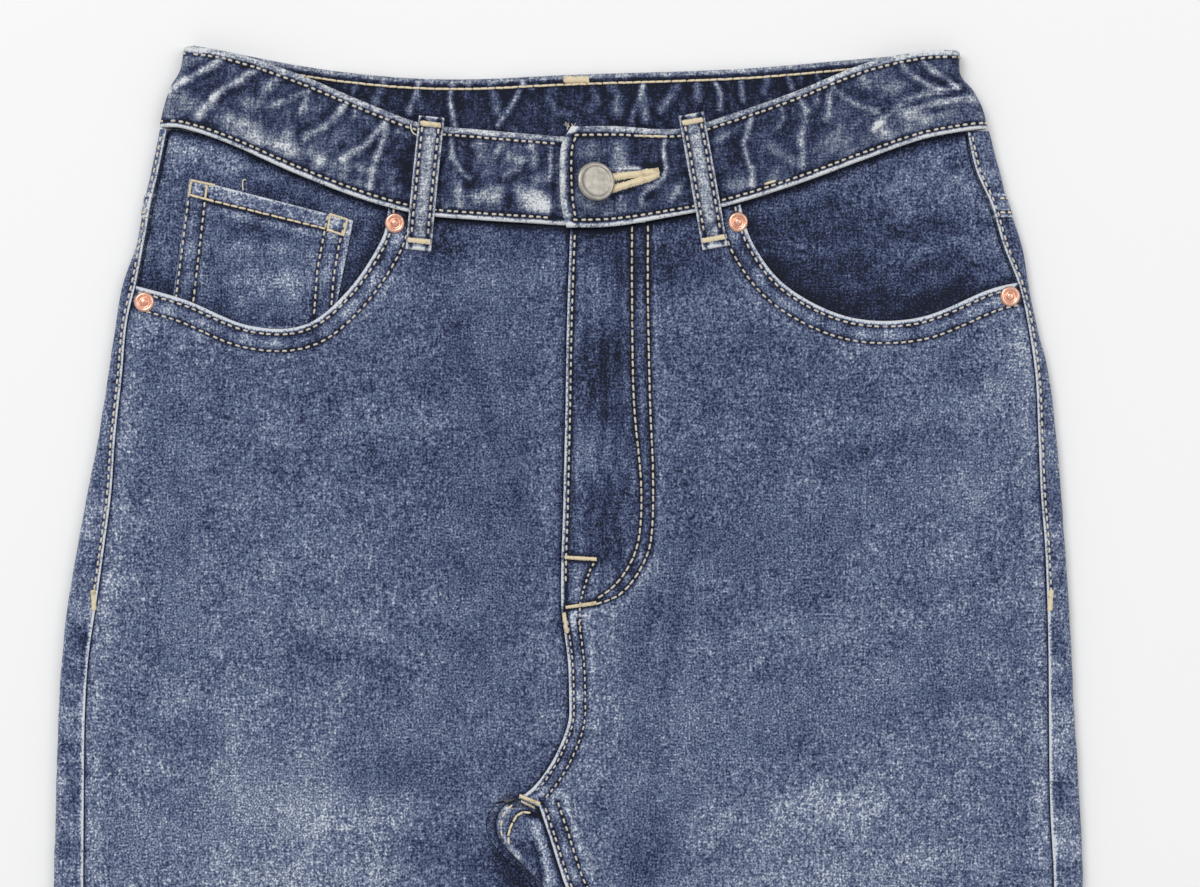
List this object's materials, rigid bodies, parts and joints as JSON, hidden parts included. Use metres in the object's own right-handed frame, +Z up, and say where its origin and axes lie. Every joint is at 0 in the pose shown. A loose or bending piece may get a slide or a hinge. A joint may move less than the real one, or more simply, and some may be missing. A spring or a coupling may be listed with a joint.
{
  "type": "bootcut jeans",
  "caption": "Bootcut jeans laid flat with the front up: elastic-gathered waistband, metal button, riveted curved pockets, coin pocket, belt loops and flared legs.",
  "frame": {"origin": "centre of the bounding box's base, on the surface that the jeans lie on", "axes": "+Y from the hems to the waist, +Z up out of the surface with the front of the jeans on top, +X towards the wearer's left leg"},
  "size_m": [0.5116, 1.092, 0.0185],
  "materials": {
    "denim": "washed blue denim with worn pale edges",
    "dark_denim": "unfaded dark blue denim",
    "pale_nickel": "matt antique nickel",
    "copper": "polished copper"
  },
  "bodies": {
    "root": {"front_left": "denim", "front_right": "denim", "back_left": "denim", "back_right": "denim", "yoke_left": "denim", "yoke_right": "denim", "waistband": "denim", "belt_loop_front_left": "denim", "belt_loop_front_right": "denim", "belt_loop_back_left": "denim", "belt_loop_back_right": "denim", "belt_loop_back_centre": "denim", "coin_pocket": "denim", "back_pocket_left": "denim", "back_pocket_right": "denim", "pocket_facing_left": "dark_denim", "pocket_facing_right": "dark_denim", "button": "pale_nickel", "rivet_left_inner": "copper", "rivet_left_outer": "copper", "rivet_right_inner": "copper", "rivet_right_outer": "copper"}
  },
  "joints": []
}
